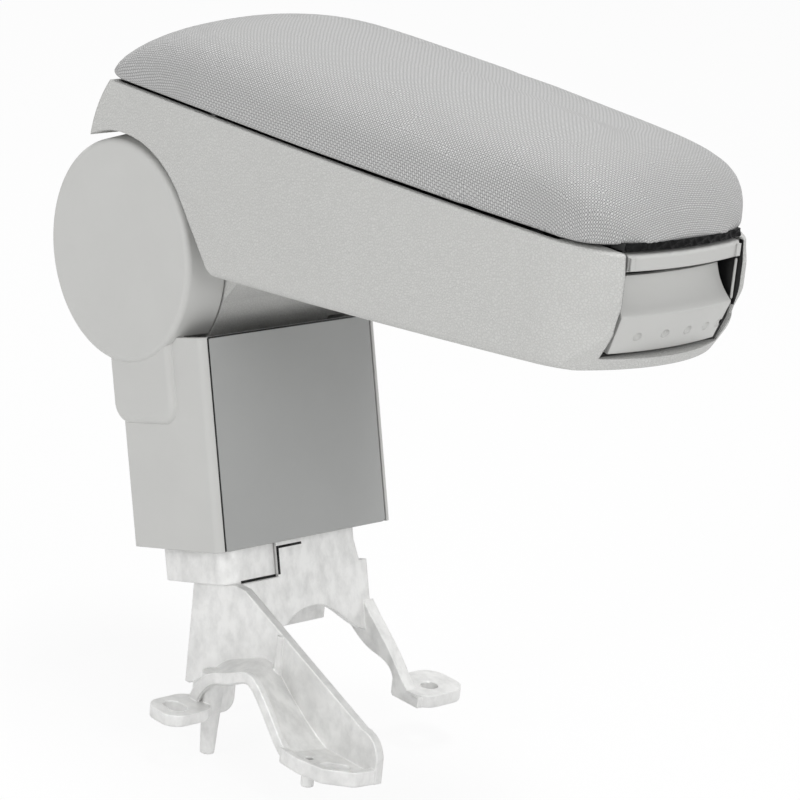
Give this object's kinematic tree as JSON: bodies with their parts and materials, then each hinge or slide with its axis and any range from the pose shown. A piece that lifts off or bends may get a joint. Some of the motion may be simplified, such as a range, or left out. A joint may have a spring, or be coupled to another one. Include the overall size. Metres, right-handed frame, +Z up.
{
  "type": "car centre armrest",
  "caption": "Car centre armrest: a storage arm with a padded fabric lid and two front grips tilts on a leaning clad column above a die-cast floor bracket.",
  "frame": {"origin": "on the plane of the feet, straight below the middle of the arm's hinge axis", "axes": "+X forward along the arm, +Y to the left across it, +Z up"},
  "size_m": [0.358, 0.149, 0.3368],
  "materials": {
    "cast_aluminium": "as-cast, matte",
    "steel": "zinc plated",
    "satin_grey": "fine satin",
    "grained_grey": "leather grain",
    "panel_grey": "smooth satin",
    "black_plastic": "satin",
    "rubber_black": "matte",
    "grey_fabric": "plain weave"
  },
  "bodies": {
    "stand": {"base_casting": "cast_aluminium", "post_casting": "cast_aluminium", "post_bolts": "steel", "cover_screws": "steel", "hinge_axle": "steel", "axle_nut": "steel", "friction_washers": "black_plastic", "spring_washers": "steel", "lock_sector": "steel", "post_screws": "steel", "right_side_cover": "satin_grey", "left_side_cover": "satin_grey", "front_panel": "panel_grey", "rear_hinge_cover": "black_plastic", "stop_pad": "rubber_black"},
    "arm": {"arm_box": "grained_grey", "inner_tray": "black_plastic", "right_bracket": "steel", "left_bracket": "steel", "hinge_bushes": "black_plastic", "bracket_screws": "steel", "tray_screws": "steel", "front_bezel": "black_plastic", "lever_pin": "steel", "pawl_pin": "steel", "lid_hinge_pins": "steel"},
    "lid": {"lid_pad": "grey_fabric", "lid_board": "black_plastic", "lid_catch": "steel", "board_screws": "steel"},
    "handle": {"lid_handle": "satin_grey"},
    "lever": {"tilt_lever": "satin_grey"},
    "rod": {"pull_rod": "steel"},
    "pawl": {"lock_pawl": "steel"}
  },
  "joints": [
    {"name": "arm_tilt", "type": "hinge", "parent": "stand", "child": "arm", "pos_m": [0, 0, 0.197], "axis": [0, -1, 0], "range_deg": [0, 75]},
    {"name": "lid_open", "type": "hinge", "parent": "arm", "child": "lid", "pos_m": [-0.0205, 0, 0.2725], "axis": [0, -1, 0], "range_deg": [0, 75]},
    {"name": "handle_pull", "type": "slide", "parent": "arm", "child": "handle", "axis": [1, 0, 0], "range_m": [0, 0.004], "stiffness_N_per_m": 1200, "springref_m": -0.002},
    {"name": "lever_pull", "type": "hinge", "parent": "arm", "child": "lever", "pos_m": [0.286, 0, 0.257], "axis": [0, -1, 0], "range_deg": [0, 10]},
    {"name": "rod_slide", "type": "slide", "parent": "arm", "child": "rod", "axis": [0.9932, 0, 0.1167], "range_m": [0, 0.0038], "stiffness_N_per_m": 3000, "springref_m": -0.0022},
    {"name": "pawl_swing", "type": "hinge", "parent": "arm", "child": "pawl", "pos_m": [0.036, 0, 0.227], "axis": [0, -1, 0], "range_deg": [0, 12]}
  ],
  "couplings": [
    {"joint": "lever_pull", "follows": "rod_slide", "rad_per_m": 45.914},
    {"joint": "pawl_swing", "follows": "rod_slide", "rad_per_m": 47.29}
  ]
}
